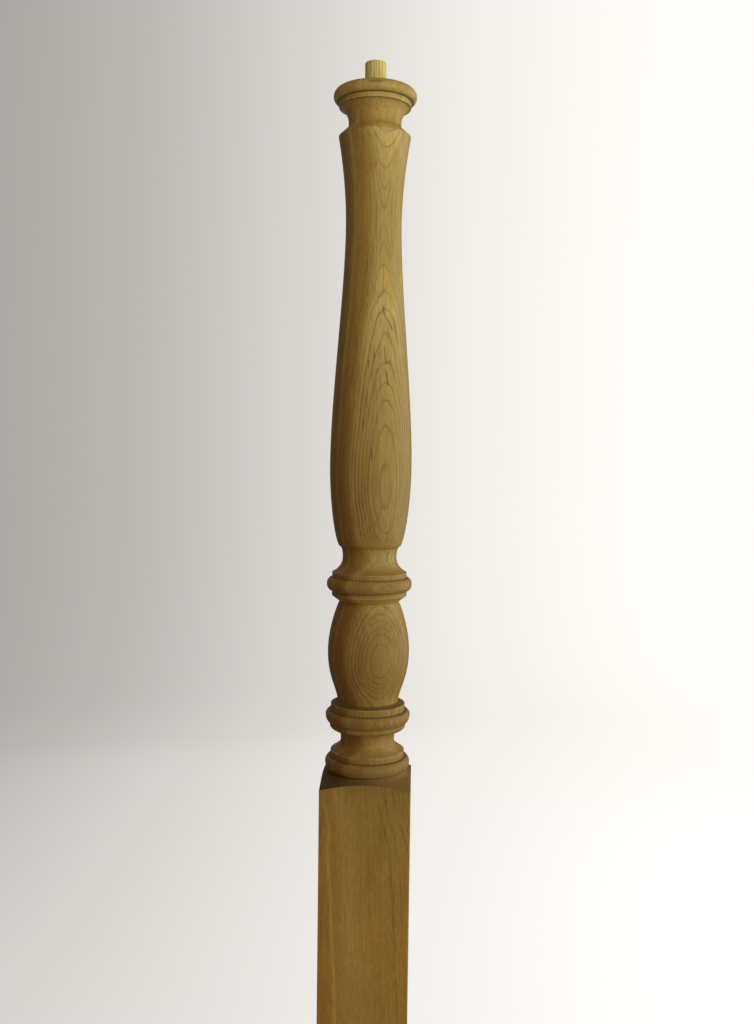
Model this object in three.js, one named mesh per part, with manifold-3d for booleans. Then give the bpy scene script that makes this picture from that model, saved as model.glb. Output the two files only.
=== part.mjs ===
// A turned newel post that stands on its square block, with a dowel pin in its cap for the
// handrail above. Millimetres, +Z up, the origin in the middle of the underside.
import * as THREE from "three";
import { mergeVertices } from "three/addons/utils/BufferGeometryUtils.js";
import Module from "manifold-3d";

// Square block, up to the foot of the turned work
const blockWidth = 82.55;
const blockHeight = 471.6;
const blockShoulderAngle = 17.8;
const shoulderHollowRadius = 42;
const shoulderHollowRise = 4.6;

// Base bead, sitting in the hollow of the block's sloping shoulder
const baseBeadFootRadius = 35.5;
const baseBeadRadius = 39.4;
const baseBeadLowerHeight = 6.8;
const baseBeadUpperHeight = 5.5;
const baseFilletRadius = 34.4;
const baseFilletHeight = 5.4;

// Lower neck, and the lip and apron that hang over it
const lowerNeckRadius = 24.9;
const lowerNeckFlareHeight = 9.2;
const lowerNeckCoveHeight = 9.8;
const lipRadius = 27.3;
const apronHeight = 4.7;
const apronRadius = 35.3;
const apronBandHeight = 2.7;

// Base collar under the vase
const baseCollarRadius = 39.3;
const baseCollarLowerHeight = 7.3;
const baseCollarUpperHeight = 4.3;
const baseCollarFilletRadius = 34.5;
const baseCollarFilletHeight = 5.9;
const baseCollarSlopeHeight = 2.4;

// Vase
const vaseFootRadius = 28;
const vaseRadius = 37.8;
const vaseTopRadius = 27.6;
const vaseLowerHeight = 47.1;
const vaseUpperHeight = 46.2;

// Collar between the vase and the cove
const collarUndercutHeight = 5.4;
const collarLowerFilletRadius = 34.7;
const collarLowerFilletHeight = 4.4;
const collarRadius = 39.4;
const collarLowerHeight = 6.3;
const collarUpperHeight = 6.2;
const collarUpperFilletRadius = 34.5;
const collarUpperFilletHeight = 4.7;

// Cove at the foot of the belly
const coveRadius = 24.9;
const coveFlareHeight = 13.9;
const coveReturnHeight = 10;

// Belly and tapered shaft
const bellyFootRadius = 28;
const bellyRadius = 37.6;
const bellyLowerHeight = 74.3;
const bellyUpperHeight = 218.2;
const waistRadius = 25.4;
const shaftTaperHeight = 78.2;
const arrisRadius = 32.7;
const arrisEase = 0.8;

// Neck under the cap
const shaftShoulderHeight = 9.1;
const neckRadius = 23.9;
const neckHeight = 3.4;
const capCoveHeight = 12.9;

// Cap
const capFilletRadius = 32.7;
const capFilletHeight = 4.2;
const capRadius = 37.7;
const capLowerHeight = 5;
const capUpperHeight = 6.3;
const capTopRadius = 32.2;

// Dowel pin and its bore
const dowelRadius = 9.525;
const dowelProud = 24.5;
const dowelDepth = 38;
const dowelChamfer = 1;
const dowelClearance = 0.3;

// The round blank's radius in block widths, and the squaring bar's length in post heights
const blankShare = 0.75;
const barShare = 3;

// Flats around the turning, and points along its rounds
const flatsAround = 36;
const quarterRoundSteps = 4;
const longCurveSteps = 8;

// Pulls of the free curves: how far a curve follows its tangent before it turns, at its lower
// and at its upper end, as [share of its change of radius, share of its rise]
const quarterRoundPull = 0.5523;
const shoulderHollowPull = [[0.5, 0.2], [0.1, 0.5]];
const neckFlarePull = [[0.38, 0.27], [0, 0.42]];
const vaseLowerPull = [[0.21, 0.29], [0, 0.52]];
const vaseUpperPull = [[0, 0.31], [0.58, 0.29]];
const coveFlarePull = [[0.24, 0.06], [0, 0.63]];
const bellyLowerPull = [[0.47, 0.06], [0, 0.46]];
const bellyUpperPull = [[0, 0.29], [0, 0.27]];
const shaftTaperPull = [[0, 0.4], [0.44, 0.23]];
const shaftShoulderPull = [[0.4, 0.4], [0.04, 0.31]];
const capCovePull = [[0, 0.56], [0.35, 0.03]];

// A half outline drawn upwards from the foot, as points of radius and height.
class Outline {
  constructor(radius, height) {
    this.points = [new THREE.Vector2(radius, height)];
  }

  get end() {
    return this.points.at(-1);
  }

  // A straight side to a radius, rising by a height.
  straight(radius, rise) {
    this.points.push(new THREE.Vector2(radius, this.end.y + rise));
    return this;
  }

  // A free curve to a radius, rising by a height, with the pulls of its two ends.
  sweep(radius, rise, [leave, arrive], steps = longCurveSteps) {
    const start = this.end;
    const span = new THREE.Vector2(radius - start.x, rise);
    const finish = start.clone().add(span);
    const curve = new THREE.CubicBezierCurve(
      start,
      new THREE.Vector2(...leave).multiply(span).add(start),
      new THREE.Vector2(...arrive).multiply(span).negate().add(finish),
      finish,
    );
    this.points.push(...curve.getPoints(steps).slice(1));
    return this;
  }

  // A quarter round that sets out level, outwards or inwards, and ends upright.
  roundFromLevel(radius, rise) {
    const pull = [[quarterRoundPull, 0], [0, quarterRoundPull]];
    return this.sweep(radius, rise, pull, quarterRoundSteps);
  }

  // A quarter round that sets out upright and ends level, outwards or inwards.
  roundFromUpright(radius, rise) {
    const pull = [[0, quarterRoundPull], [quarterRoundPull, 0]];
    return this.sweep(radius, rise, pull, quarterRoundSteps);
  }
}

// The block's blank is a round wider than the block's corners; the block is cut from it later.
function drawBlank() {
  const blankRadius = blockWidth * blankShare;
  const fall = Math.tan(THREE.MathUtils.degToRad(blockShoulderAngle));
  const drop = (blankRadius - shoulderHollowRadius) * fall;
  return new Outline(0, 0)
    .straight(blankRadius, 0)
    .straight(blankRadius, blockHeight - shoulderHollowRise - drop)
    .straight(shoulderHollowRadius, drop)
    .sweep(baseBeadFootRadius, shoulderHollowRise, shoulderHollowPull, quarterRoundSteps);
}

// Base bead, lower neck, lip and base collar.
function drawBase(outline) {
  return outline
    .roundFromLevel(baseBeadRadius, baseBeadLowerHeight)
    .roundFromUpright(baseFilletRadius, baseBeadUpperHeight)
    .straight(baseFilletRadius, baseFilletHeight)
    .sweep(lowerNeckRadius, lowerNeckFlareHeight, neckFlarePull, quarterRoundSteps)
    .roundFromUpright(lipRadius, lowerNeckCoveHeight)
    .roundFromLevel(apronRadius, apronHeight)
    .straight(apronRadius, apronBandHeight)
    .roundFromLevel(baseCollarRadius, baseCollarLowerHeight)
    .roundFromUpright(baseCollarFilletRadius, baseCollarUpperHeight)
    .straight(baseCollarFilletRadius, baseCollarFilletHeight)
    .straight(vaseFootRadius, baseCollarSlopeHeight);
}

// Vase, and the collar over it.
function drawVase(outline) {
  return outline
    .sweep(vaseRadius, vaseLowerHeight, vaseLowerPull)
    .sweep(vaseTopRadius, vaseUpperHeight, vaseUpperPull)
    .straight(collarLowerFilletRadius, collarUndercutHeight)
    .straight(collarLowerFilletRadius, collarLowerFilletHeight)
    .roundFromLevel(collarRadius, collarLowerHeight)
    .roundFromUpright(collarUpperFilletRadius, collarUpperHeight)
    .straight(collarUpperFilletRadius, collarUpperFilletHeight);
}

// Cove, belly and tapered shaft, up to the shaft's arris.
function drawShaft(outline) {
  return outline
    .sweep(coveRadius, coveFlareHeight, coveFlarePull, quarterRoundSteps)
    .roundFromUpright(bellyFootRadius, coveReturnHeight)
    .sweep(bellyRadius, bellyLowerHeight, bellyLowerPull)
    .sweep(waistRadius, bellyUpperHeight, bellyUpperPull)
    .sweep(arrisRadius, shaftTaperHeight, shaftTaperPull)
    .roundFromUpright(arrisRadius - arrisEase, arrisEase);
}

// Neck and cap, down into the bore for the dowel.
function drawCap(outline) {
  return outline
    .sweep(neckRadius, shaftShoulderHeight, shaftShoulderPull, quarterRoundSteps)
    .straight(neckRadius, neckHeight)
    .sweep(capFilletRadius, capCoveHeight, capCovePull, quarterRoundSteps)
    .straight(capFilletRadius, capFilletHeight)
    .roundFromLevel(capRadius, capLowerHeight)
    .roundFromUpright(capTopRadius, capUpperHeight)
    .straight(dowelRadius + dowelClearance, 0)
    .straight(dowelRadius + dowelClearance, -dowelDepth - dowelClearance)
    .straight(0, 0);
}

// The outline turned about the post's axis.
function turned(outline) {
  return new THREE.LatheGeometry(outline.points, flatsAround).rotateX(Math.PI / 2);
}

const wasm = await Module();
wasm.setup();

function solidOf(geometry) {
  const bare = geometry.clone();
  bare.deleteAttribute("normal");
  bare.deleteAttribute("uv");
  const merged = mergeVertices(bare);
  return new wasm.Manifold(
    new wasm.Mesh({
      numProp: 3,
      vertProperties: merged.getAttribute("position").array,
      triVerts: new Uint32Array(merged.index.array),
    }),
  );
}

function geometryOf(solid) {
  const mesh = solid.getMesh();
  const geometry = new THREE.BufferGeometry();
  geometry.setAttribute("position", new THREE.BufferAttribute(mesh.vertProperties, mesh.numProp));
  geometry.setIndex(new THREE.BufferAttribute(mesh.triVerts, 1));
  geometry.computeVertexNormals();
  return geometry;
}

const postOutline = drawCap(drawShaft(drawVase(drawBase(drawBlank()))));
const capTop = postOutline.end.y + dowelDepth + dowelClearance;

// The post is turned whole and its block is squared by a long square bar around the axis.
function makePost() {
  const squareBar = new THREE.BoxGeometry(blockWidth, blockWidth, barShare * capTop);
  return geometryOf(solidOf(turned(postOutline)).intersect(solidOf(squareBar)));
}

// The dowel, chamfered at both ends, standing in its bore.
function makeDowel() {
  const tipRadius = dowelRadius - dowelChamfer;
  const outline = new Outline(0, capTop - dowelDepth)
    .straight(tipRadius, 0)
    .straight(dowelRadius, dowelChamfer)
    .straight(dowelRadius, dowelDepth + dowelProud - 2 * dowelChamfer)
    .straight(tipRadius, dowelChamfer)
    .straight(0, 0);
  return turned(outline);
}

const postWood = new THREE.MeshStandardMaterial({ color: 0x94703c, roughness: 0.58, metalness: 0 });
const dowelWood = new THREE.MeshStandardMaterial({ color: 0xc0a062, roughness: 0.7, metalness: 0 });

const post = new THREE.Mesh(makePost(), postWood);
post.name = "newel_post";
const dowel = new THREE.Mesh(makeDowel(), dowelWood);
dowel.name = "dowel_pin";

const newel = new THREE.Group();
newel.add(post, dowel);

export default newel;
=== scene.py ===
"""A turned newel post with a dowel pin in its cap, standing in a plain pale studio."""

import logging
import math
from dataclasses import dataclass, field
from enum import Enum

import bmesh
import bpy
from mathutils import Matrix, Vector

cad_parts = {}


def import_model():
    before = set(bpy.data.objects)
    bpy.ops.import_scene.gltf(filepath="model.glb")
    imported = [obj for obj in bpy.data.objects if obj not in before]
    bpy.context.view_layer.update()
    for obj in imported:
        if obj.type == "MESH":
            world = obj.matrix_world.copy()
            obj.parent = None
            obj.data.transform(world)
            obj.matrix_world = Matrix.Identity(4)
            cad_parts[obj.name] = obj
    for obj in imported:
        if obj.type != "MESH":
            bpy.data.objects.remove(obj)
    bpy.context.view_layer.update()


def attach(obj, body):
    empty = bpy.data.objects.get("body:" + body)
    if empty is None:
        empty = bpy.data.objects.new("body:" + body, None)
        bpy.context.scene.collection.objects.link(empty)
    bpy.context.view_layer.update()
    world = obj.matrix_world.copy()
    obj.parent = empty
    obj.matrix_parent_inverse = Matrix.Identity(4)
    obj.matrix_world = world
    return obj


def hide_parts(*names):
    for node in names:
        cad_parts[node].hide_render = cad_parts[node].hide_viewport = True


LOG = logging.getLogger("newel")

MM = 0.001
HALFWAY = 0.5
SIDES = 4
ROUND_PULL = 0.5523
BAND_STEPS = 3
FILLET_STEPS = 4
SLOPE_STEPS = 5
FLAT_STEPS = 8
QUARTER_STEPS = 9
SHORT_STEPS = 12
LONG_STEPS = 36
AROUND = 192
SHARP_ANGLE = math.radians(28)
EASED_SEGMENTS = 2
EASED_PROFILE = 0.5
HAIR = 1e-5
WELD = 1e-4
NEAR = 1e-3
SLIVER = 4e-3
MIX_UNDER, MIX_OVER, MIX_RESULT = 6, 7, 2

Socket = bpy.types.NodeSocket
Solid = bmesh.types.BMesh
Triple = tuple[float, float, float]
Colour = Triple
Rise = Triple
Span = tuple[float, float]
Pulls = tuple[Span, Span]
Knots = tuple[Span, ...]


class Start(Enum):
    """Which way a quarter round sets out on its way up the post."""

    LEVEL = "level"
    UPRIGHT = "upright"


@dataclass
class Outline:
    """A half outline of turned work, drawn upwards, in millimetres of radius and height."""

    radius: float
    height: float
    points: list[Vector] = field(default_factory=list)

    def __post_init__(self) -> None:
        """Sets the first point."""
        self.points.append(Vector((self.radius, self.height)))

    @property
    def end(self) -> Vector:
        """The last point drawn."""
        return self.points[-1]

    def straight(self, radius: float, rise: float, steps: int = 1) -> "Outline":
        """Draws a straight side.

        Args:
            radius: Radius at its end.
            rise: How far it climbs.
            steps: Points along it.

        Returns:
            The same outline, for the next member.
        """
        start = self.end.copy()
        goal = Vector((radius, start.y + rise))
        for step in range(1, steps + 1):
            self.points.append(start.lerp(goal, step / steps))
        return self

    def sweep(self, radius: float, rise: float, pulls: Pulls,
              steps: int = LONG_STEPS) -> "Outline":
        """Draws a free curve.

        Args:
            radius: Radius at its end.
            rise: How far it climbs.
            pulls: Pulls of the lower and the upper end, as shares of the change of radius and
                of the rise.
            steps: Points along it.

        Returns:
            The same outline, for the next member.
        """
        leave, arrive = pulls
        start = self.end.copy()
        span = Vector((radius - start.x, rise))
        goal = start + span
        first = start + Vector((leave[0] * span.x, leave[1] * span.y))
        second = goal - Vector((arrive[0] * span.x, arrive[1] * span.y))
        for step in range(1, steps + 1):
            share = step / steps
            low = start.lerp(first, share)
            middle = first.lerp(second, share)
            high = second.lerp(goal, share)
            self.points.append(low.lerp(middle, share).lerp(middle.lerp(high, share), share))
        return self

    def quarter(self, radius: float, rise: float, start: Start) -> "Outline":
        """Draws a quarter round.

        Args:
            radius: Radius at its end, wider or narrower than at its start.
            rise: How far it climbs.
            start: Whether it sets out level or upright.

        Returns:
            The same outline, for the next member.
        """
        level, upright = (ROUND_PULL, 0.0), (0.0, ROUND_PULL)
        pulls = (level, upright) if start is Start.LEVEL else (upright, level)
        return self.sweep(radius, rise, pulls, QUARTER_STEPS)

    def corners(self, way: int) -> list[Vector]:
        """Finds the corners that turn one way.

        Args:
            way: 1 for inner corners, which get dust and painted shade, and -1 for outer ones,
                which get wear and painted highlight.

        Returns:
            The points of those corners.
        """
        found = []
        for before, here, after in zip(self.points, self.points[1:], self.points[2:]):
            arriving, leaving = here - before, after - here
            if min(arriving.length, leaving.length) == 0:
                continue
            if arriving.angle_signed(leaving) * way > SHARP_ANGLE:
                found.append(here.copy())
        return found


def clean(bm: Solid, weld: float, sliver: float) -> None:
    """Merges points that lie nearly on top of each other, and turns the faces outwards.

    Args:
        bm: The closed mesh, in millimetres.
        weld: Distance under which points are merged.
        sliver: Length under which an edge is dissolved.
    """
    bmesh.ops.remove_doubles(bm, verts=bm.verts[:], dist=weld)
    bmesh.ops.dissolve_degenerate(bm, dist=sliver, edges=bm.edges[:])
    bmesh.ops.recalc_face_normals(bm, faces=bm.faces[:])


def ease(bm: Solid, edges: list[bmesh.types.BMEdge], width: float) -> None:
    """Takes the sharpness off edges.

    Args:
        bm: The mesh, in millimetres.
        edges: Its edges that are eased.
        width: Width of the eased edge.
    """
    bmesh.ops.bevel(bm, geom=edges, offset=width, offset_type="OFFSET",
                    segments=EASED_SEGMENTS, profile=EASED_PROFILE, affect="EDGES",
                    material=-1, clamp_overlap=True)


@dataclass(frozen=True)
class SquareBlock:
    """The square block at the foot, and the sloping shoulder turned on its top."""

    width: float = 82.55
    height: float = 471.6
    shoulder_angle: float = 17.8
    blank_share: float = 0.75
    hollow_radius: float = 42.0
    hollow_rise: float = 4.6
    hollow_pulls: Pulls = ((0.5, 0.2), (0.1, 0.5))
    neck_radius: float = 35.5
    arris: float = 0.35

    def draw(self) -> Outline:
        """Draws the blank up to the foot of the turned work."""
        blank = self.width * self.blank_share
        drop = (blank - self.hollow_radius) * math.tan(math.radians(self.shoulder_angle))
        outline = Outline(0.0, 0.0).straight(blank, 0.0)
        outline.straight(blank, self.height - self.hollow_rise - drop)
        outline.straight(self.hollow_radius, drop, FLAT_STEPS)
        return outline.sweep(self.neck_radius, self.hollow_rise, self.hollow_pulls, SHORT_STEPS)

    def square_up(self, bm: Solid) -> None:
        """Planes the four faces of the block.

        Args:
            bm: The turned post, which is cut.
        """
        half = self.width / 2
        for turn in range(SIDES):
            out = Matrix.Rotation(turn * math.tau / SIDES, 3, "Z") @ Vector((1.0, 0.0, 0.0))
            cut = bmesh.ops.bisect_plane(
                bm, geom=bm.verts[:] + bm.edges[:] + bm.faces[:], dist=HAIR,
                plane_co=out * half, plane_no=out, clear_outer=True)
            rim = [part for part in cut["geom_cut"] if isinstance(part, bmesh.types.BMEdge)]
            bmesh.ops.contextual_create(bm, geom=rim)
        clean(bm, SLIVER, SLIVER)

    def ease_arrises(self, bm: Solid) -> None:
        """Takes the sharpness off the block's arrises.

        Args:
            bm: The squared post, whose block is eased.
        """
        half = self.width / 2

        def on_side(face: bmesh.types.BMFace) -> bool:
            """Tells whether a face is one of the four planed faces."""
            middle = face.calc_center_median()
            level = max(abs(middle.x), abs(middle.y))
            return abs(face.normal.z) < NEAR and abs(level - half) < NEAR

        def is_arris(edge: bmesh.types.BMEdge) -> bool:
            """Tells whether an edge bounds a planed face and turns a corner."""
            sides = [on_side(face) for face in edge.link_faces]
            return any(sides) and edge.calc_face_angle(0.0) > SHARP_ANGLE

        ease(bm, [edge for edge in bm.edges if is_arris(edge)], self.arris)
        clean(bm, SLIVER, SLIVER)


@dataclass(frozen=True)
class BaseTurning:
    """Base bead, lower neck, lip, apron and base collar."""

    bead_radius: float = 39.4
    bead_lower: float = 6.8
    bead_upper: float = 5.5
    fillet_radius: float = 34.4
    fillet_height: float = 5.4
    neck_radius: float = 24.9
    neck_flare: float = 9.2
    neck_pulls: Pulls = ((0.38, 0.27), (0.0, 0.42))
    neck_cove: float = 9.8
    lip_radius: float = 27.3
    apron_height: float = 4.7
    apron_radius: float = 35.3
    band_height: float = 2.7
    collar_radius: float = 39.3
    collar_lower: float = 7.3
    collar_upper: float = 4.3
    collar_fillet_radius: float = 34.5
    collar_fillet_height: float = 5.9
    slope_height: float = 2.4
    vase_foot_radius: float = 28.0

    def draw(self, outline: Outline) -> Outline:
        """Draws its members upwards from the block's shoulder."""
        outline.quarter(self.bead_radius, self.bead_lower, Start.LEVEL)
        outline.quarter(self.fillet_radius, self.bead_upper, Start.UPRIGHT)
        outline.straight(self.fillet_radius, self.fillet_height, SLOPE_STEPS)
        outline.sweep(self.neck_radius, self.neck_flare, self.neck_pulls, SHORT_STEPS)
        outline.quarter(self.lip_radius, self.neck_cove, Start.UPRIGHT)
        outline.quarter(self.apron_radius, self.apron_height, Start.LEVEL)
        outline.straight(self.apron_radius, self.band_height, BAND_STEPS)
        outline.quarter(self.collar_radius, self.collar_lower, Start.LEVEL)
        outline.quarter(self.collar_fillet_radius, self.collar_upper, Start.UPRIGHT)
        outline.straight(self.collar_fillet_radius, self.collar_fillet_height, SLOPE_STEPS)
        return outline.straight(self.vase_foot_radius, self.slope_height, SLOPE_STEPS)


@dataclass(frozen=True)
class VaseTurning:
    """The vase, and the collar over it."""

    radius: float = 37.8
    top_radius: float = 27.6
    lower: float = 47.1
    upper: float = 46.2
    lower_pulls: Pulls = ((0.21, 0.29), (0.0, 0.52))
    upper_pulls: Pulls = ((0.0, 0.31), (0.58, 0.29))
    undercut: float = 5.4
    lower_fillet_radius: float = 34.7
    lower_fillet_height: float = 4.4
    collar_radius: float = 39.4
    collar_lower: float = 6.3
    collar_upper: float = 6.2
    upper_fillet_radius: float = 34.5
    upper_fillet_height: float = 4.7

    def draw(self, outline: Outline) -> Outline:
        """Draws its members upwards from the base collar."""
        outline.sweep(self.radius, self.lower, self.lower_pulls)
        outline.sweep(self.top_radius, self.upper, self.upper_pulls)
        outline.straight(self.lower_fillet_radius, self.undercut, SLOPE_STEPS)
        outline.straight(self.lower_fillet_radius, self.lower_fillet_height, FILLET_STEPS)
        outline.quarter(self.collar_radius, self.collar_lower, Start.LEVEL)
        outline.quarter(self.upper_fillet_radius, self.collar_upper, Start.UPRIGHT)
        return outline.straight(self.upper_fillet_radius, self.upper_fillet_height, FILLET_STEPS)


@dataclass(frozen=True)
class ShaftTurning:
    """The cove, the belly and the tapered shaft up to its arris."""

    cove_radius: float = 24.9
    cove_flare: float = 13.9
    cove_return: float = 10.0
    foot_radius: float = 28.0
    belly_radius: float = 37.6
    belly_lower: float = 74.3
    belly_upper: float = 218.2
    waist_radius: float = 25.4
    taper_height: float = 78.2
    arris_radius: float = 32.7
    arris_ease: float = 0.8
    cove_pulls: Pulls = ((0.24, 0.06), (0.0, 0.63))
    belly_pulls: Pulls = ((0.47, 0.06), (0.0, 0.46))
    waist_pulls: Pulls = ((0.0, 0.29), (0.0, 0.27))
    taper_pulls: Pulls = ((0.0, 0.4), (0.44, 0.23))

    def draw(self, outline: Outline) -> Outline:
        """Draws its members upwards from the upper collar."""
        outline.sweep(self.cove_radius, self.cove_flare, self.cove_pulls, SHORT_STEPS)
        outline.quarter(self.foot_radius, self.cove_return, Start.UPRIGHT)
        outline.sweep(self.belly_radius, self.belly_lower, self.belly_pulls)
        outline.sweep(self.waist_radius, self.belly_upper, self.waist_pulls)
        outline.sweep(self.arris_radius, self.taper_height, self.taper_pulls, SHORT_STEPS)
        return outline.quarter(self.arris_radius - self.arris_ease, self.arris_ease, Start.UPRIGHT)


@dataclass(frozen=True)
class CapTurning:
    """The neck and the cap, with the bore for the dowel."""

    shoulder_height: float = 9.1
    neck_radius: float = 23.9
    neck_height: float = 3.4
    cove_height: float = 12.9
    fillet_radius: float = 32.7
    fillet_height: float = 4.2
    cap_radius: float = 37.7
    cap_lower: float = 5.0
    cap_upper: float = 6.3
    top_radius: float = 32.2
    bore_radius: float = 9.825
    bore_depth: float = 38.3
    shoulder_pulls: Pulls = ((0.4, 0.4), (0.04, 0.31))
    cove_pulls: Pulls = ((0.0, 0.56), (0.35, 0.03))

    def draw(self, outline: Outline) -> Outline:
        """Draws its members upwards from the shaft's arris, and down into the bore."""
        outline.sweep(self.neck_radius, self.shoulder_height, self.shoulder_pulls, SHORT_STEPS)
        outline.straight(self.neck_radius, self.neck_height, FILLET_STEPS)
        outline.sweep(self.fillet_radius, self.cove_height, self.cove_pulls, SHORT_STEPS)
        outline.straight(self.fillet_radius, self.fillet_height, FILLET_STEPS)
        outline.quarter(self.cap_radius, self.cap_lower, Start.LEVEL)
        outline.quarter(self.top_radius, self.cap_upper, Start.UPRIGHT)
        outline.straight(self.bore_radius, 0.0, FLAT_STEPS)
        outline.straight(self.bore_radius, -self.bore_depth)
        return outline.straight(0.0, 0.0)


def spin_whole(outline: Outline, around: int) -> Solid:
    """Turns an outline once about the post's axis.

    Args:
        outline: The half outline, which starts and ends on the axis.
        around: Steps of the turn.

    Returns:
        The closed turning, in millimetres, its faces outwards.
    """
    bm = bmesh.new()
    corners = [bm.verts.new((point.x, 0.0, point.y)) for point in outline.points]
    sides = [bm.edges.new(pair) for pair in zip(corners, corners[1:])]
    bmesh.ops.spin(bm, geom=corners + sides, cent=(0, 0, 0), axis=(0, 0, 1), dvec=(0, 0, 0),
                   angle=math.tau, steps=around, use_merge=True, use_normal_flip=False,
                   use_duplicate=False)
    clean(bm, WELD, HAIR)
    return bm


def ease_rings(bm: Solid, width: float, above: float) -> None:
    """Takes the sharpness off the outer corners of turned members.

    Args:
        bm: The turning, which is changed.
        width: Width of the eased edge.
        above: Height over which corners are eased.
    """
    def is_corner(edge: bmesh.types.BMEdge) -> bool:
        """Tells whether an edge runs around the turning and stands out."""
        low, high = (vert.co for vert in edge.verts)
        around = abs(low.z - high.z) < WELD and abs(low.xy.length - high.xy.length) < NEAR
        return around and low.z > above and edge.calc_face_angle_signed(0.0) > SHARP_ANGLE

    ease(bm, [edge for edge in bm.edges if is_corner(edge)], width)


def mark_corners(bm: Solid, layer: str, corners: list[Vector], reach: float) -> None:
    """Marks how near each point of a turning is to some corners of its outline.

    Args:
        bm: The turning, in millimetres.
        layer: Name of the mark.
        corners: The corners.
        reach: How far a mark spreads from its corner.
    """
    mark = bm.verts.layers.float.new(layer)
    for vert in bm.verts:
        place = Vector((vert.co.xy.length, vert.co.z))
        nearest = min((place - corner).length for corner in corners)
        vert[mark] = max(0.0, 1.0 - nearest / reach)


def into_scene(bm: Solid, name: str) -> bpy.types.Object:
    """Makes a finished piece of a mesh in millimetres.

    Args:
        bm: The mesh, which is used up.
        name: The piece's name.

    Returns:
        The piece, at the origin.
    """
    bmesh.ops.scale(bm, vec=(MM, MM, MM), verts=bm.verts[:])
    mesh = bpy.data.meshes.new(name)
    bm.to_mesh(mesh)
    bm.free()
    mesh.shade_smooth()
    mesh.set_sharp_from_angle(angle=SHARP_ANGLE)
    piece = bpy.data.objects.new(name, mesh)
    bpy.context.scene.collection.objects.link(piece)
    return piece


class Strand:
    """A number that varies over a surface: an output of a node, with sums written as sums."""

    def __init__(self, tree: bpy.types.NodeTree, socket: Socket) -> None:
        """Keeps the node tree and the output."""
        self.tree = tree
        self.socket = socket

    def reckon(self, operation: str, *others: "Strand | float", clamp: bool = False) -> "Strand":
        """Puts this number and others through a Math node.

        Args:
            operation: The Math node's operation.
            *others: The other inputs, as strands or plain numbers.
            clamp: Whether the result is held between 0 and 1.

        Returns:
            The result.
        """
        node = self.tree.nodes.new("ShaderNodeMath")
        node.operation = operation
        node.use_clamp = clamp
        for inlet, value in zip(node.inputs, (self, *others)):
            if isinstance(value, Strand):
                self.tree.links.new(value.socket, inlet)
            else:
                inlet.default_value = value
        return Strand(self.tree, node.outputs[0])

    def __add__(self, other: "Strand | float") -> "Strand":
        """Sum."""
        return self.reckon("ADD", other)

    def __sub__(self, other: "Strand | float") -> "Strand":
        """Difference."""
        return self.reckon("SUBTRACT", other)

    def __mul__(self, other: "Strand | float") -> "Strand":
        """Product."""
        return self.reckon("MULTIPLY", other)

    def between(self, low: float, high: float, share: float = 1.0) -> "Strand":
        """Rises smoothly from 0 at low to a share at high, or falls where low is the greater."""
        node = self.tree.nodes.new("ShaderNodeMapRange")
        node.interpolation_type = "SMOOTHSTEP"
        node.inputs["From Min"].default_value = low
        node.inputs["From Max"].default_value = high
        node.inputs["To Max"].default_value = share
        self.tree.links.new(self.socket, node.inputs["Value"])
        return Strand(self.tree, node.outputs["Result"])

    def hump(self, middle: float, width: float, share: float = 1.0) -> "Strand":
        """A bell around a middle, as high as its share."""
        away = (self - middle) * (1.0 / width)
        return (away * away * -1.0).reckon("EXPONENT") * share

    def curve(self, knots: Knots, straight: bool = False) -> "Strand":
        """Follows a curve drawn through knots.

        Args:
            knots: Pairs of this number and the result, in rising order.
            straight: Whether the curve runs straight from knot to knot.

        Returns:
            The result.
        """
        first, last = knots[0][0], knots[-1][0]
        floor = min(result for _, result in knots)
        rise = max(result for _, result in knots) - floor
        node = self.tree.nodes.new("ShaderNodeFloatCurve")
        drawn = node.mapping.curves[0]
        for place, result in knots[1:-1]:
            drawn.points.new((place - first) / (last - first), (result - floor) / rise)
        for point, (place, result) in zip(drawn.points, knots):
            point.location = ((place - first) / (last - first), (result - floor) / rise)
            point.handle_type = "VECTOR" if straight else "AUTO"
        node.mapping.update()
        share = (self - first).reckon("DIVIDE", last - first, clamp=True)
        self.tree.links.new(share.socket, node.inputs["Value"])
        return Strand(self.tree, node.outputs[0]) * rise + floor


@dataclass(frozen=True)
class Grain:
    """A soft noise: size of its spots in millimetres, seed, strength, and its finer octaves."""

    size: Triple
    seed: float
    strength: float = 1.0
    octaves: float = 2.0
    rough: float = 0.5


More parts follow.
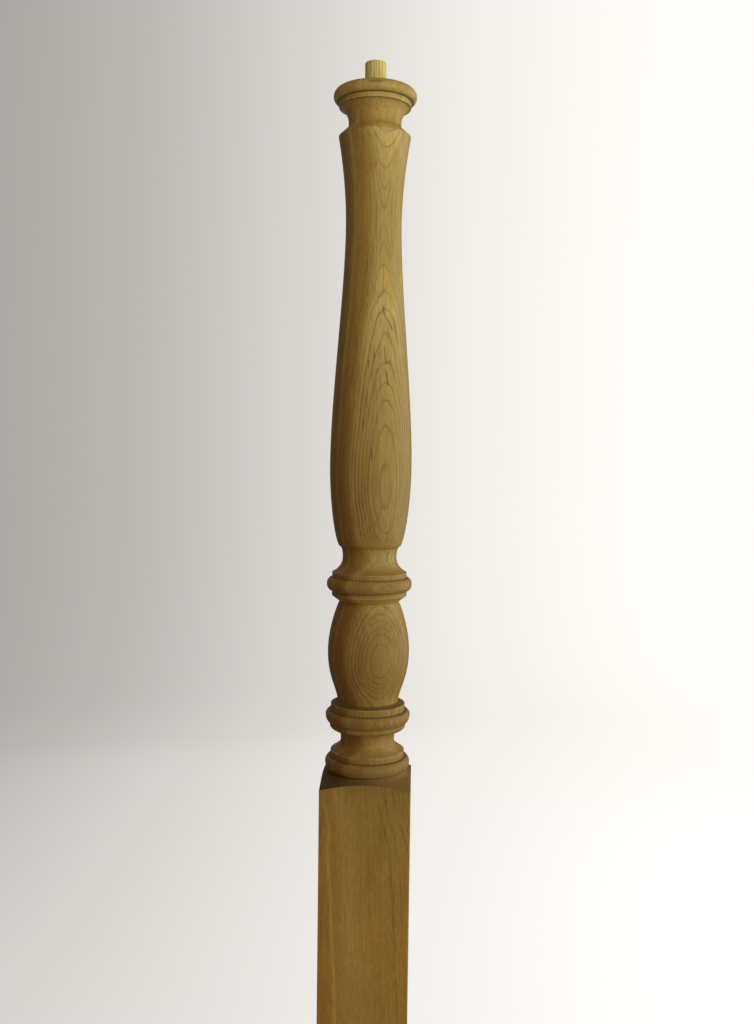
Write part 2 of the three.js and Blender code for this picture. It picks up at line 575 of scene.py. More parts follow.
class WoodGraph:
    """The node tree of a wood, with the parts of a pattern as methods."""

    def __init__(self, name: str) -> None:
        """Makes an empty material with a surface shader.

        Args:
            name: The material's name.
        """
        self.material = bpy.data.materials.new(name)
        self.material.use_nodes = True
        self.tree = self.material.node_tree
        self.shader = self.tree.nodes["Principled BSDF"]
        place = self.tree.nodes.new("ShaderNodeTexCoord")
        scale = self.tree.nodes.new("ShaderNodeMapping")
        scale.inputs["Scale"].default_value = (1 / MM, 1 / MM, 1 / MM)
        self.tree.links.new(place.outputs["Object"], scale.inputs["Vector"])
        self.place = scale.outputs["Vector"]
        split = self.tree.nodes.new("ShaderNodeSeparateXYZ")
        self.tree.links.new(self.place, split.inputs[0])
        self.x, self.y, self.z = (Strand(self.tree, socket) for socket in split.outputs)
        facing = self.tree.nodes.new("ShaderNodeSeparateXYZ")
        self.tree.links.new(place.outputs["Normal"], facing.inputs[0])
        turned = (Strand(self.tree, socket) for socket in facing.outputs)
        self.facing_x, self.facing_y, self.facing_z = turned

    def attribute(self, name: str) -> Strand:
        """Reads a number kept on the mesh."""
        node = self.tree.nodes.new("ShaderNodeAttribute")
        node.attribute_name = name
        return Strand(self.tree, node.outputs["Fac"])

    def noise(self, grain: Grain) -> Strand:
        """Makes soft noise.

        Args:
            grain: Its size, its seed and its octaves; its strength isn't used here.

        Returns:
            The noise, about 0.5.
        """
        seed = grain.seed
        stretch = self.tree.nodes.new("ShaderNodeMapping")
        stretch.inputs["Scale"].default_value = tuple(1 / length for length in grain.size)
        stretch.inputs["Location"].default_value = (seed, seed * 2, seed * 3)
        self.tree.links.new(self.place, stretch.inputs["Vector"])
        node = self.tree.nodes.new("ShaderNodeTexNoise")
        node.inputs["Scale"].default_value = 1.0
        node.inputs["Detail"].default_value = grain.octaves
        node.inputs["Roughness"].default_value = grain.rough
        self.tree.links.new(stretch.outputs[0], node.inputs["Vector"])
        return Strand(self.tree, node.outputs[0])

    def waver(self, grain: Grain) -> Strand:
        """Makes noise about 0, at the grain's strength."""
        return (self.noise(grain) - HALFWAY) * grain.strength

    def spots(self, grain: Grain, span: Span) -> Strand:
        """Makes spots where noise rises over a span, at the grain's strength."""
        return self.noise(grain).between(*span) * grain.strength

    def chance(self, number: Strand) -> Strand:
        """A lot drawn between 0 and 1 for each whole number."""
        node = self.tree.nodes.new("ShaderNodeTexWhiteNoise")
        node.noise_dimensions = "1D"
        self.tree.links.new(number.socket, node.inputs["W"])
        return Strand(self.tree, node.outputs["Value"])

    def ramp(self, along: Strand, stops: list[tuple[float, Colour]]) -> Socket:
        """Colours a number.

        Args:
            along: The number.
            stops: Pairs of the number and its colour, in rising order.

        Returns:
            The colour's socket.
        """
        first, last = stops[0][0], stops[-1][0]
        node = self.tree.nodes.new("ShaderNodeValToRGB")
        node.color_ramp.interpolation = "EASE"
        ends = node.color_ramp.elements
        while len(ends) < len(stops):
            ends.new(HALFWAY)
        for element, (place, colour) in zip(ends, stops):
            element.position = (place - first) / (last - first)
            element.color = (*colour, 1.0)
        share = (along - first) * (1.0 / (last - first))
        self.tree.links.new(share.socket, node.inputs["Fac"])
        return node.outputs["Color"]

    def mix(self, share: Strand, under: Socket, over: Colour,
            blend: str = "MIX") -> Socket:
        """Lays a colour over another.

        Args:
            share: How much of it, from 0 to 1.
            under: The colour below.
            over: The colour laid on.
            blend: The Mix node's blend type.

        Returns:
            The mixed colour's socket.
        """
        node = self.tree.nodes.new("ShaderNodeMix")
        node.data_type = "RGBA"
        node.blend_type = blend
        node.clamp_factor = True
        self.tree.links.new(share.socket, node.inputs[0])
        self.tree.links.new(under, node.inputs[MIX_UNDER])
        node.inputs[MIX_OVER].default_value = (*over, 1.0)
        return node.outputs[MIX_RESULT]

    def scaled(self, vector: Socket | Vector, by: Strand) -> Socket:
        """Multiplies a colour or a vector by a number."""
        node = self.tree.nodes.new("ShaderNodeVectorMath")
        node.operation = "SCALE"
        self.plug(vector, node.inputs[0])
        self.tree.links.new(by.socket, node.inputs["Scale"])
        return node.outputs["Vector"]

    def vector(self, operation: str, first: Socket,
               second: Socket | Vector,
               outlet: str = "Vector") -> Socket:
        """Puts two vectors through a Vector Math node.

        Args:
            operation: The node's operation.
            first: The first vector.
            second: The second one, which may be fixed.
            outlet: Which output is wanted, the vector or the value.

        Returns:
            The output's socket.
        """
        node = self.tree.nodes.new("ShaderNodeVectorMath")
        node.operation = operation
        self.plug(first, node.inputs[0])
        self.plug(second, node.inputs[1])
        return node.outputs[outlet]

    def plug(self, value: Socket | Vector, inlet: Socket) -> None:
        """Feeds an inlet from a socket, or sets it where the value is fixed."""
        if isinstance(value, Socket):
            self.tree.links.new(value, inlet)
        else:
            inlet.default_value = value

    def streak(self, low: Span, high: Span, width: float) -> Strand:
        """A thin streak from one place on the front to another.

        Args:
            low: One end, as X and Z.
            high: The other end, as X and Z.
            width: Its half width.

        Returns:
            1 on its middle line and 0 away from it.
        """
        start = Vector((low[0], 0.0, low[1]))
        run = Vector((high[0] - low[0], 0.0, high[1] - low[1]))
        flat = self.vector("MULTIPLY", self.place, Vector((1.0, 0.0, 1.0)))
        away = self.vector("SUBTRACT", flat, start)
        along = Strand(self.tree, self.vector("DOT_PRODUCT", away, run, "Value"))
        share = along.reckon("DIVIDE", run.length_squared, clamp=True)
        off = self.vector("DISTANCE", away, self.scaled(run, share), "Value")
        return Strand(self.tree, off).between(width, 0.0)

    def finish(self, colour: Socket, roughness: Strand, relief: Strand,
               depth: float, shine: float) -> bpy.types.Material:
        """Joins the pattern to the shader.

        Args:
            colour: The colour's socket.
            roughness: The roughness.
            relief: Height of the surface's fine relief, from 0 to 1.
            depth: Depth of that relief, in millimetres.
            shine: Specular level.

        Returns:
            The finished material.
        """
        self.tree.links.new(colour, self.shader.inputs["Base Color"])
        self.tree.links.new(roughness.socket, self.shader.inputs["Roughness"])
        self.shader.inputs["Specular IOR Level"].default_value = shine
        bump = self.tree.nodes.new("ShaderNodeBump")
        bump.inputs["Strength"].default_value = 1.0
        bump.inputs["Distance"].default_value = depth * MM
        self.tree.links.new(relief.socket, bump.inputs["Height"])
        self.tree.links.new(bump.outputs[0], self.shader.inputs["Normal"])
        return self.material


@dataclass(frozen=True)
class RingField:
    """Where the growth rings pass through the post, in millimetres across the rings.

    The rings lie nearly flat across the stick. The grain swells and leans on its way up, which
    draws the ovals and arches on the turned faces.
    """

    facing: float = math.radians(22.4)
    hollow: float = 0.00085
    lean_span: float = 30.0
    swell: Knots = (
        (200, -8.2), (320, -6.7), (400, -5.0), (440, -2.1), (480, 1.0), (520, 2.8), (560, 2.2),
        (600, 1.1), (640, 4.3), (680, 5.9), (695, 5.25), (706, 4.25), (716, 3.7), (730, 2.95),
        (760, 1.8), (800, 1.4), (840, 1.3), (880, 1.45), (891, 1.2), (905, 0.1), (930, 0.1),
        (980, -0.15), (1020, -1.3), (1044, -2.0), (1062, 0.2), (1120, 0.0))
    lean: Knots = (
        (200, -3.2), (320, -2.8), (400, -2.4), (440, -0.8), (520, -0.2), (560, -1.2), (600, -0.8),
        (640, 1.0), (680, 3.2), (720, 1.2), (760, 0.3), (800, 1.0), (840, 0.8), (880, 1.5),
        (930, 0.8), (980, 0.4), (1020, 0.1), (1120, 0.1))

    def aside(self, graph: WoodGraph) -> Strand:
        """Distance along the rings, to the right of the stick's middle."""
        return graph.x * math.cos(self.facing) + graph.y * math.sin(self.facing)

    def slant(self, graph: WoodGraph) -> Strand:
        """How steeply the surface cuts the rings, from 0 where it runs along them to 1."""
        square = (graph.facing_x * math.sin(self.facing)
                  - graph.facing_y * math.cos(self.facing))
        return (square * square * -1.0 + 1.0).reckon("MAXIMUM", 0.0).reckon("SQRT")

    def depth(self, graph: WoodGraph) -> Strand:
        """Builds the field.

        Args:
            graph: The wood's node tree.

        Returns:
            The depth across the rings at each place.
        """
        toward = graph.x * math.sin(self.facing) - graph.y * math.cos(self.facing)
        aside = self.aside(graph)
        bowed = toward + aside * aside * self.hollow
        leaning = graph.z.curve(self.lean) * aside * (1 / self.lean_span)
        return bowed + graph.z.curve(self.swell) + leaning


@dataclass(frozen=True)
class PostWood:
    """Bare fine-grained hardwood with a darker band, thin ring lines and a few gum streaks.

    Places are in millimetres. A span or rise says where something sets in and where it is whole,
    a hump its middle and width. A third number is how much it lightens or lays on.
    """

    # Besides the wood's own colour, this pattern paints light and shade: by height, on the left of
    # the head, under the upper collar, on the block's shoulder, on level faces, in inner corners
    # and on outer edges.
    rings: RingField = RingField()
    sap: Colour = (0.50, 0.366, 0.106)
    band: Colour = (0.52, 0.320, 0.060)
    mellow: Colour = (0.60, 0.420, 0.100)
    pale: Colour = (0.68, 0.500, 0.142)
    line: Colour = (0.27, 0.155, 0.040)
    # Dark colour of the gum streaks, also laid into inner corners as dust and painted shade.
    dark_gum_and_shade: Colour = (0.07, 0.034, 0.016)
    # Pale edge colour: wear and painted highlight on outer corners and arrises.
    wear_and_highlight: Colour = (0.95, 0.80, 0.42)
    flush: Colour = (1.0, 0.90, 0.93)
    # Dark colour on level faces and the block's shoulder: end grain and painted shade.
    end_grain_and_shade: Colour = (0.108, 0.064, 0.020)
    ember: Colour = (1.0, 0.86, 0.73)
    ember_rise: Knots = (
        (0, 1.0), (271, 1.0), (437, 0.88), (575, 0.85), (672, 0.5), (768, 0.22), (880, 0.0),
        (1117, 0.0))
    # Painted light and shade by height: a scale on the colour, darkest at the base bead, low over
    # the base and vase, lighter on the block and towards the cap.
    painted_light_by_height: Knots = (
        (0, 1.14), (271, 1.14), (363, 1.03), (430, 0.93), (458, 0.87), (476, 0.72), (488, 0.77),
        (500, 0.88), (512, 0.80), (530, 0.77), (560, 0.81), (640, 0.83), (700, 0.85),
        (760, 0.88), (880, 0.99), (1060, 1.07), (1117, 1.07))
    line_rise: Knots = (
        (0, 0.10), (455, 0.10), (475, 0.55), (530, 0.65), (550, 0.95), (605, 0.95), (625, 0.6),
        (690, 0.75), (710, 1.0), (1050, 1.0), (1066, 0.35), (1117, 0.35))
    ring_marks: tuple[float, ...] = (
        22.6, 24.4, 25.35, 25.85, 26.7, 28.2, 30.4, 32.5, 34.1, 35.5, 36.65, 38.1, 39.43, 41.5,
        44.0, 47.4)
    tint_places: tuple[float, ...] = (
        -50, -38, -30, -20, -8, 2, 9, 12.5, 16, 22, 27, 30, 36, 60)

    wobble: Grain = Grain((14, 14, 60), 3.1, 0.5)
    crinkle: Grain = Grain((5, 5, 22), 12.9, octaves=1.0)
    broad: Grain = Grain((7, 7, 110), 7.7, 2.0, 3.0)
    fibre: Grain = Grain((0.6, 0.6, 30), 1.7, 0.44, 3.0, 0.6)
    strand: Grain = Grain((1.7, 1.7, 75), 6.1, 0.75, rough=0.6)
    figure: Grain = Grain((16, 16, 70), 9.2, 0.24)
    mottle: Grain = Grain((2.4, 2.4, 5), 3.3, 0.24)
    pores: Grain = Grain((1.0, 1.0, 6.5), 10.4, octaves=1.0)
    fleck: Grain = Grain((0.35, 0.35, 3.2), 4.4, 0.15, 1.0)
    flushing: Grain = Grain((11, 11, 30), 15.1)
    fading: Grain = Grain((6, 6, 34), 5.3, 0.7, 1.0)
    patches: Grain = Grain((9, 9, 26), 14.2)

    crinkle_hump: Span = (868.0, 45.0)
    crinkle_least: float = 0.12
    aside_rise: Rise = (6.0, 34.0, 17.0)
    head_rise: Rise = (1058.0, 1070.0, 0.6)
    block_span: Span = (470.0, 440.0)
    flush_span: Span = (0.45, 0.68)
    flush_share: float = 0.7
    flush_lift: float = 0.05
    pores_on_block: float = 0.25
    pores_least: float = 0.2
    block_calm: float = 0.5
    fleck_span: Span = (0.70, 0.82)
    # Painted light on the downward-facing underside of the upper collar.
    undercut_painted_light: Rise = (631.6, 2.6, 0.45)
    # Painted light on the left of the cap and the neck under it: it lifts the lightness and lays
    # on some of the pale edge colour.
    cap_left_light: Span = (1086.0, 9.0)
    neck_left_light: Rise = (1056.0, 6.0, 0.8)
    left_light_side: Span = (-14.0, -34.0)
    left_light_lift: float = 0.22
    left_light_share: float = 0.16

    level_span: Span = (0.86, 0.97)
    end_and_shade_share: float = 0.85
    quirk_loss: float = 0.8
    cap_top_fall: Rise = (1083.0, 1090.0, -0.5)
    shoulder_span: Span = (472.2, 471.4)
    shoulder_tilt: Span = (0.15, 0.4)
    # Painted light across the block's shoulder, from none at -X to the most at +X.
    shoulder_painted_light: Rise = (-38.0, 30.0, 1.1)
    overall: float = 0.92

    line_pitch: float = 1.3
    line_width: float = 0.52
    least_width: float = 0.07
    line_chance: float = 0.4
    least_chance: float = 0.42
    fade_span: Span = (0.25, 0.62)
    least_fade: float = 0.3
    right_lines_height: Span = (470.0, 450.0)
    right_lines: Rise = (39.0, 41.0, 0.5)

    upper_rise: Rise = (650.0, 600.0, 1.4)
    left_hump: Rise = (13.5, 1.2, 0.2)
    right_start: Span = (26.6, 27.1)
    right_stop: Rise = (31.5, 28.5, 0.13)
    thread_hump: Rise = (26.2, 0.38, 0.28)
    neck_fall: Rise = (1056.0, 1066.0, -0.7)

    arris_span: Span = (39.9, 41.2)
    arris_height: Span = (466.0, 462.0)
    patch_span: Span = (0.3, 0.65)
    # A thin dark mark on the front of the cap's rim, just under the dowel.
    dark_mark_ends: tuple[Span, Span] = ((-3.0, 1087.8), (7.0, 1088.0))
    dark_mark_width: float = 1.7
    dark_mark_side: Span = (-20.0, -28.0)
    streaks: tuple[tuple[Span, Span, float, float], ...] = (
        ((10.2, 932.5), (10.6, 905.9), 0.5, 0.35), ((10.6, 905.9), (5.8, 904.3), 0.5, 0.35),
        ((10.3, 896.0), (11.3, 889.0), 0.6, 0.7), ((11.3, 889.0), (15.8, 882.3), 0.5, 0.6),
        ((15.8, 882.3), (19.0, 875.4), 0.6, 0.8), ((11.8, 859.8), (13.8, 844.8), 0.5, 0.7),
        ((13.9, 838.5), (15.8, 826.2), 0.6, 0.9), ((-1.7, 847.9), (-1.6, 840.8), 0.5, 0.6),
        ((2.1, 770.2), (2.3, 759.5), 0.5, 0.8), ((-5.8, 794.8), (-5.7, 787.7), 0.5, 0.5))
    streak_spread: float = 1.6
    streak_side: Span = (-8.0, -14.0)

    # Share of dark colour in inner corners: dust and painted shade.
    dust_and_shade: float = 0.15
    wear_and_highlight_share: float = 0.24
    dark_mark: float = 0.8
    roughness: float = 0.5
    fibre_rough: float = 0.2
    end_rough: float = 0.2
    shine: float = 0.35
    relief: float = 0.05
    fibre_relief: float = 0.6
    line_relief: float = 0.5
    relief_floor: float = 0.3

    def material(self) -> bpy.types.Material:
        """Builds the wood of the post."""
        graph = WoodGraph("newel_wood")
        crinkled = graph.z.hump(*self.crinkle_hump) + self.crinkle_least
        across = self.rings.depth(graph) + graph.waver(self.wobble)
        across = across + graph.waver(self.crinkle) * crinkled
        lines = self.ring_lines(graph, across)
        fibre = graph.noise(self.fibre)
        block = graph.z.between(*self.block_span)
        flushed = graph.spots(self.flushing, self.flush_span) * block
        painted_left_light = self.painted_left_light(graph)
        colour = graph.mix(lines, self.ring_tint(graph, across), self.line)
        colour = graph.mix(graph.z.curve(self.ember_rise), colour, self.ember, "MULTIPLY")
        colour = graph.mix(flushed * self.flush_share, colour, self.flush, "MULTIPLY")
        shade = self.shade(graph, across) + (fibre - HALFWAY) * self.fibre.strength
        # Painted light lifts the left of the cap and neck.
        shade = shade + flushed * self.flush_lift + painted_left_light * self.left_light_lift
        # Painted light and shade by height scale the colour here.
        colour = graph.scaled(colour, shade * graph.z.curve(self.painted_light_by_height))

        dust_and_shade_mask = graph.attribute("dust_and_shade")
        # Level faces and the block's shoulder darken: part end grain, part painted shade.
        level = graph.facing_z.reckon("ABSOLUTE")
        shoulder = graph.z.between(*self.shoulder_span) * level.between(*self.shoulder_tilt)
        top = graph.z.between(*self.cap_top_fall) + 1.0
        inner = (dust_and_shade_mask * -self.quirk_loss + 1.0) * top
        ends = (level.between(*self.level_span) * inner).reckon("MAXIMUM", shoulder)
        colour = graph.mix(ends * self.end_and_shade_share, colour, self.end_grain_and_shade)
        # Painted light: the block's shoulder is lightened towards +X.
        lit = shoulder * graph.x.between(*self.shoulder_painted_light) + self.overall
        colour = graph.scaled(colour, lit)

        colour = graph.mix(self.gum_streaks(graph), colour, self.dark_gum_and_shade)
        # Dust and painted shade: the dark gum colour laid into inner corners.
        colour = graph.mix(dust_and_shade_mask * self.dust_and_shade, colour, self.dark_gum_and_shade)
        # A thin dark mark on the front of the cap's rim, just under the dowel.
        dark_marked = graph.streak(*self.dark_mark_ends, self.dark_mark_width)
        dark_marked = dark_marked * graph.y.between(*self.dark_mark_side)
        colour = graph.mix(dark_marked * self.dark_mark, colour, self.line)
        # Pale edges, part wear and part painted highlight, and painted light on the left of the
        # head.
        wear_and_highlight = (self.wear_and_highlight_edges(graph) * self.wear_and_highlight_share).reckon("MAXIMUM", painted_left_light * self.left_light_share)
        colour = graph.mix(wear_and_highlight, colour, self.wear_and_highlight)
        rough = (fibre - HALFWAY) * self.fibre_rough + ends * self.end_rough + self.roughness
        relief = fibre * self.fibre_relief - lines * self.line_relief + self.relief_floor
        return graph.finish(colour, rough, relief, self.relief, self.shine)

    def painted_left_light(self, graph: WoodGraph) -> Strand:
        """Marks painted light on the left of the cap and of the neck under it."""
        heights = graph.z.hump(*self.cap_left_light) + graph.z.hump(*self.neck_left_light)
        return heights * graph.x.between(*self.left_light_side)

    def ring_tint(self, graph: WoodGraph, across: Strand) -> Socket:
        """Colours the wood by its depth across the rings.

        Args:
            graph: The wood's node tree.
            across: The depth across the rings.

        Returns:
            The colour's socket.
        """
        tints = (self.mellow, self.pale, self.mellow, self.pale, self.mellow, self.sap, self.sap,
                 self.mellow, self.band, self.band, self.mellow, self.pale, self.mellow,
                 self.mellow)
        turned_away = self.rings.aside(graph).between(*self.aside_rise)
        along = across + turned_away + graph.waver(self.broad)
        tint = graph.ramp(along, list(zip(self.tint_places, tints)))
        return graph.mix(graph.z.between(*self.head_rise), tint, self.mellow)

    def shade(self, graph: WoodGraph, across: Strand) -> Strand:
        """Lays out where the wood is lighter and darker, apart from its fine fibre, and paints
        light under the upper collar.

        Args:
            graph: The wood's node tree.
            across: The depth across the rings.

        Returns:
            The lightness, about 1.
        """
        block = graph.z.between(*self.block_span)
        calm = block * -self.block_calm + 1.0
        strong = block * self.pores_on_block + self.pores_least
        shade = graph.waver(self.strand) * calm + graph.waver(self.figure) + 1.0
        shade = shade + graph.waver(self.pores) * strong + graph.waver(self.mottle)
        # Painted light on the downward-facing underside of the upper collar.
        shade = shade + graph.z.hump(*self.undercut_painted_light)
        return shade + self.pale_bands(graph, across) - graph.spots(self.fleck, self.fleck_span)

    def pale_bands(self, graph: WoodGraph, across: Strand) -> Strand:
        """Lays out the two pale bands, left of the darker band and right of it.

        Args:
            graph: The wood's node tree.
            across: The depth across the rings.

        Returns:
            How much lighter the wood is.
        """
        upper = across + graph.z.between(*self.upper_rise)
        left = upper.hump(*self.left_hump)
        right = upper.between(*self.right_start) * upper.between(*self.right_stop)
        thread = across.hump(*self.thread_hump) * graph.z.between(*self.block_span)
        shaft = graph.z.between(*reversed(self.block_span))
        return (left + right) * shaft * (graph.z.between(*self.neck_fall) + 1.0) + thread

    def ring_count(self, across: Strand) -> Strand:
        """Numbers the rings so that each dark line falls on a whole number."""
        marks = tuple((place, float(number)) for number, place in enumerate(self.ring_marks))
        first, last = self.ring_marks[0], self.ring_marks[-1]
        pitch = (last - first) / (len(marks) - 1)
        held = across.reckon("MAXIMUM", first).reckon("MINIMUM", last)
        return across.curve(marks, straight=True) + (across - held) * (1 / pitch)

    def ring_lines(self, graph: WoodGraph, across: Strand) -> Strand:
        """Draws the thin dark line of each ring.

        Args:
            graph: The wood's node tree.
            across: The depth across the rings.

        Returns:
            How much of the line's colour is laid on, from 0 to 1.
        """
        count = self.ring_count(across)
        ring = count.reckon("ROUND")
        off = (count - ring).reckon("ABSOLUTE") * self.line_pitch
        width = self.rings.slant(graph) * self.line_width + self.least_width
        thread = (off.reckon("DIVIDE", width) * -1.0 + 1.0).reckon("MAXIMUM", 0.0)
        strength = graph.chance(ring) * self.line_chance + self.least_chance
        fade = graph.spots(self.fading, self.fade_span) + self.least_fade
        right = graph.z.between(*self.right_lines_height) * across.between(*self.right_lines)
        return thread * strength * fade * (graph.z.curve(self.line_rise) + right)

    def wear_and_highlight_edges(self, graph: WoodGraph) -> Strand:
        """Tells where the pale edge colour goes on the turned corners and the block's arrises:
        wear and painted highlight.
        """
        corner = graph.x.reckon("ABSOLUTE").reckon("MINIMUM", graph.y.reckon("ABSOLUTE"))
        arris = corner.between(*self.arris_span) * graph.z.between(*self.arris_height)
        wear_and_highlight = graph.attribute("wear_and_highlight").reckon("MAXIMUM", arris)
        return wear_and_highlight * graph.spots(self.patches, self.patch_span)

    def gum_streaks(self, graph: WoodGraph) -> Strand:
        """Lays out the dark gum streaks and checks on the front of the shaft."""
        whole = None
        for low, high, width, depth in self.streaks:
            one = graph.streak(low, high, width * self.streak_spread) * depth
            whole = one if whole is None else whole.reckon("MAXIMUM", one)
        return whole * graph.y.between(*self.streak_side)


@dataclass(frozen=True)
class DowelWood:
    """Paler, yellower dowel wood with upright streaks."""

    light: Colour = (1.0, 0.86, 0.27)
    dark: Colour = (0.92, 0.68, 0.17)
    thread: Colour = (0.36, 0.18, 0.035)
    wander: Grain = Grain((3, 3, 45), 2.3, 3.0, 1.0)
    fibre: Grain = Grain((0.7, 0.7, 24), 8.1, 0.9, 3.0, 0.6)
    threads: Grain = Grain((1.1, 1.1, 60), 5.2, 0.62, 1.0)
    thread_span: Span = (0.54, 0.63)
    end_rise: Rise = (0.6, 0.95, 0.4)
    pitch: float = 3.7
    wave_share: float = 0.5
    streak_floor: float = 0.3
    light_place: float = 0.75
    facing: float = math.radians(6)
    roughness: float = 0.6
    fibre_rough: float = 0.2
    shine: float = 0.35
    relief: float = 0.12

    def material(self) -> bpy.types.Material:
        """Builds the wood of the dowel."""
        graph = WoodGraph("dowel_wood")
        across = graph.x * math.cos(self.facing) + graph.y * math.sin(self.facing)
        turn = (across + graph.waver(self.wander)) * (math.tau / self.pitch)
        wave = turn.reckon("COSINE") * HALFWAY + HALFWAY
        fibre = graph.noise(self.fibre) - HALFWAY
        streak = wave * self.wave_share + fibre * self.fibre.strength + self.streak_floor
        colour = graph.ramp(streak, [(0.0, self.dark), (self.light_place, self.light)])
        colour = graph.mix(graph.spots(self.threads, self.thread_span), colour, self.thread)
        ends = graph.facing_z.reckon("ABSOLUTE").between(*self.end_rise)
        colour = graph.mix(ends, colour, self.dark)
        rough = fibre * self.fibre_rough + self.roughness
        return graph.finish(colour, rough, streak, self.relief, self.shine)


@dataclass(frozen=True)
class NewelPost:
    """The whole post: one stick, squared at the foot and turned above."""

    block: SquareBlock = SquareBlock()
    base: BaseTurning = BaseTurning()
    vase: VaseTurning = VaseTurning()
    shaft: ShaftTurning = ShaftTurning()
    cap: CapTurning = CapTurning()
    wood: PostWood = PostWood()
    eased: float = 0.3
    dust_and_shade_reach: float = 1.4
    wear_and_highlight_reach: float = 1.1

    def outline(self) -> Outline:
        """Draws the whole half outline."""
        drawn = self.base.draw(self.block.draw())
        return self.cap.draw(self.shaft.draw(self.vase.draw(drawn)))

    def build(self) -> bpy.types.Object:
        """Turns the post, squares its block and eases its edges.

        Returns:
            The dressed piece.
        """
        outline = self.outline()
        bm = spin_whole(outline, AROUND)
        ease_rings(bm, self.eased, self.block.height)
        self.block.square_up(bm)
        self.block.ease_arrises(bm)
        # Inner corners carry dust and painted shade; outer corners carry wear and painted
        # highlight.
        mark_corners(bm, "dust_and_shade", outline.corners(1), self.dust_and_shade_reach)
        mark_corners(bm, "wear_and_highlight", outline.corners(-1), self.wear_and_highlight_reach)
        piece = into_scene(bm, "newel_post_wood")
        piece.data.materials.append(self.wood.material())
        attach(piece, "root")
        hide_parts("newel_post")
        return piece


@dataclass(frozen=True)
class DowelPin:
    """The round dowel that stands in the cap's bore."""

    radius: float = 9.525
    foot: float = 1054.2
    length: float = 62.5
    chamfer: float = 1.0
    wood: DowelWood = DowelWood()
    around: int = 96

    def build(self) -> bpy.types.Object:
        """Turns the dowel with its two eased ends.

        Returns:
            The dressed piece.
        """
        tip = self.radius - self.chamfer
        outline = Outline(0.0, self.foot).straight(tip, 0.0, BAND_STEPS)
        outline.quarter(self.radius, self.chamfer, Start.LEVEL)
        outline.straight(self.radius, self.length - 2 * self.chamfer, SHORT_STEPS)
        outline.quarter(tip, self.chamfer, Start.UPRIGHT).straight(0.0, 0.0, BAND_STEPS)
        piece = into_scene(spin_whole(outline, self.around), "dowel_pin_wood")
        piece.data.materials.append(self.wood.material())
        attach(piece, "root")
        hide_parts("dowel_pin")
        return piece


@dataclass(frozen=True)
class Lamp:
    """A soft rectangular lamp: its place and aim in metres, its size and its power in watts."""

    name: str
    place: Triple
    size: Span
    power: float
    colour: Colour = (1.0, 1.0, 1.0)
    aim: Triple = (0.0, 0.0, 0.75)

    def hang(self) -> None:
        """Hangs the lamp in the scene, unseen by the camera."""
        light = bpy.data.lights.new(self.name, "AREA")
        light.shape = "RECTANGLE"
        light.size, light.size_y = self.size
        light.energy = self.power
        light.color = self.colour
        lamp = bpy.data.objects.new(self.name, light)
        way = Vector(self.aim) - Vector(self.place)
        turn = way.to_track_quat("-Z", "Y").to_matrix().to_4x4()
        lamp.matrix_world = Matrix.Translation(self.place) @ turn
        lamp.visible_camera = False
        bpy.context.scene.collection.objects.link(lamp)


WARM: Colour = (1.0, 0.97, 0.92)
COOL: Colour = (0.88, 1.0, 1.0)


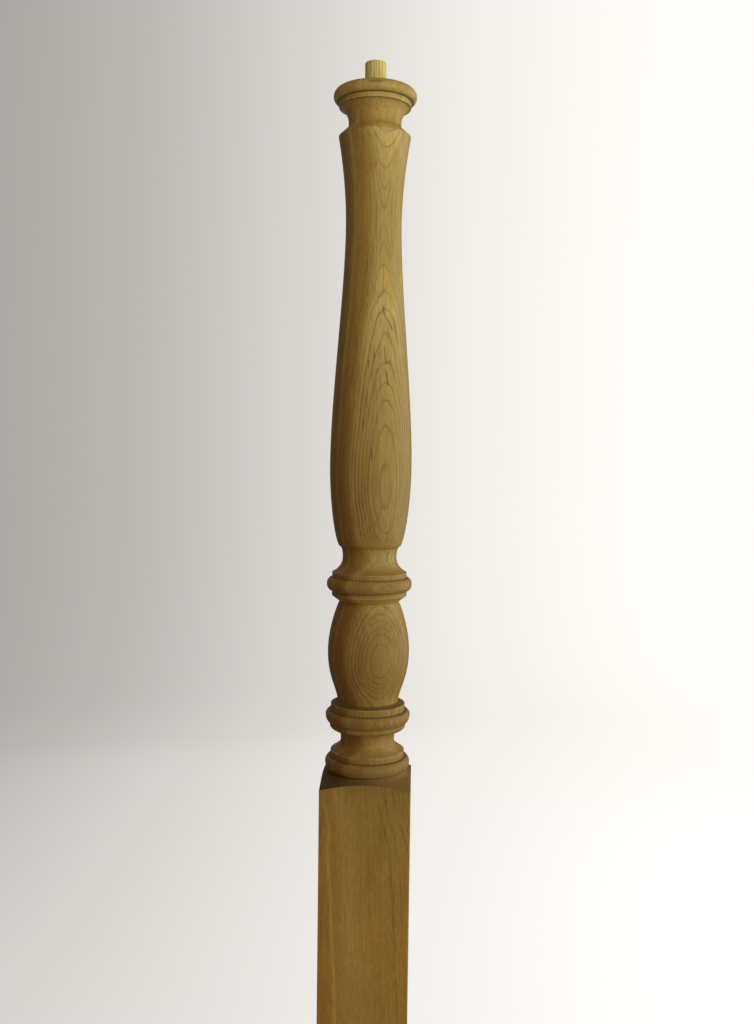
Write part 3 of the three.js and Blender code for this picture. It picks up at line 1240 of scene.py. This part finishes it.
@dataclass(frozen=True)
class Studio:
    """A seamless pale floor and backdrop all round, with soft lamps."""

    floor_radius: float = 2.3
    floor_drop: float = 0.5
    floor_steps: int = 24
    around: int = 96
    cove: float = 0.6
    wall_height: float = 3.2
    paper: Colour = (0.50, 0.495, 0.485)
    weave: Grain = Grain((9, 9, 9), 6.0)
    weave_span: Span = (0.3, 0.7)
    weave_shade: float = 0.985
    weave_rough: float = 0.1
    weave_relief: float = 0.01
    roughness: float = 0.8
    shine: float = 0.1
    glow: Colour = (0.98, 0.965, 0.94)
    # Painted light on the paper: its glow grows from the left side to the right.
    glow_left: float = 0.30
    glow_right: float = 0.96
    glow_span: Span = (-1700.0, 1050.0)
    ambient: Colour = (0.125, 0.094, 0.074)
    lamps: tuple[Lamp, ...] = (
        Lamp("key_lamp", (1.25, -1.25, 0.35), (1.0, 1.0), 5.6, WARM),
        Lamp("side_lamp", (1.7, -0.45, 1.0), (1.0, 1.6), 2.5),
        Lamp("low_lamp", (1.5, -0.3, 0.4), (0.8, 1.2), 2.6),
        Lamp("rim_lamp", (1.2, 0.6, 0.9), (0.8, 1.6), 6.0, COOL),
        Lamp("back_lamp", (-0.45, 1.6, 1.0), (1.2, 1.6), 1.5),
        Lamp("top_lamp", (0.3, -0.7, 1.22), (0.5, 0.5), 1.85, WARM, (0.0, 0.0, 1.02)))

    def backdrop(self) -> bpy.types.Object:
        """Builds the floor and the wall that rises from it."""
        wall = (self.floor_radius + self.cove) / MM
        outline = Outline(0.0, -self.floor_drop)
        outline.straight(self.floor_radius / MM, 0.0, self.floor_steps)
        outline.quarter(wall, self.cove / MM, Start.LEVEL).straight(wall, self.wall_height / MM)
        bm = spin_whole(outline, self.around)
        bmesh.ops.reverse_faces(bm, faces=bm.faces[:])
        piece = into_scene(bm, "studio_floor")
        piece.data.materials.append(self.paper_material())
        piece.visible_diffuse = False
        piece.visible_glossy = False
        return piece

    def paper_material(self) -> bpy.types.Material:
        """Builds the pale paper, which glows by itself: painted light, brighter towards +X than
        towards -X.
        """
        graph = WoodGraph("studio_paper")
        weave = graph.noise(self.weave)
        shaded = tuple(self.weave_shade * part for part in self.paper)
        colour = graph.ramp(weave, list(zip(self.weave_span, (self.paper, shaded))))
        # Painted light: the paper glows more towards +X.
        side = graph.x.between(*self.glow_span) * (self.glow_right - self.glow_left)
        graph.shader.inputs["Emission Color"].default_value = (*self.glow, 1.0)
        strength = (side + self.glow_left).socket
        graph.tree.links.new(strength, graph.shader.inputs["Emission Strength"])
        rough = weave * self.weave_rough + self.roughness
        return graph.finish(colour, rough, weave, self.weave_relief, self.shine)

    def light(self) -> None:
        """Sets the ambient light and hangs the lamps."""
        world = bpy.data.worlds.new("studio_air")
        bpy.context.scene.world = world
        world.use_nodes = True
        air = world.node_tree.nodes["Background"]
        air.inputs["Color"].default_value = (*self.ambient, 1.0)
        for lamp in self.lamps:
            lamp.hang()
        bpy.context.scene.view_settings.view_transform = "Standard"


@dataclass(frozen=True)
class PhotoCamera:
    """The camera, where the photograph's camera was."""

    distance: float = 0.937
    aside: float = 0.0063
    height: float = 0.7652
    azimuth: float = math.radians(2.2)
    pitch: float = math.radians(3.29)
    roll: float = math.radians(0.74)
    focal_pixels: float = 1014.5
    frame_height: float = 1024.0
    sensor: float = 36.0
    nearest: float = 0.05
    farthest: float = 30.0

    def build(self) -> bpy.types.Object:
        """Places the camera and makes it the scene's own."""
        data = bpy.data.cameras.new("photo_camera")
        data.sensor_width = self.sensor
        data.lens = self.focal_pixels / self.frame_height * self.sensor
        data.clip_start, data.clip_end = self.nearest, self.farthest
        camera = bpy.data.objects.new("photo_camera", data)
        about = Matrix.Rotation(self.azimuth, 4, "Z")
        stand = Matrix.Translation((self.aside, -self.distance, self.height))
        tilt = Matrix.Rotation(math.pi / 2 - self.pitch, 4, "X")
        camera.matrix_world = about @ stand @ tilt @ Matrix.Rotation(self.roll, 4, "Z")
        bpy.context.scene.collection.objects.link(camera)
        bpy.context.scene.camera = camera
        return camera


def main() -> None:
    """Builds the post, its dowel, the studio and the camera."""
    logging.basicConfig(level=logging.INFO, format="%(message)s")
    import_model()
    for part in (NewelPost(), DowelPin()):
        piece = part.build()
        LOG.info("%s: %d faces", piece.name, len(piece.data.polygons))
    studio = Studio()
    LOG.info("%s laid", studio.backdrop().name)
    studio.light()
    LOG.info("%s placed", PhotoCamera().build().name)


if __name__ == "__main__":
    main()
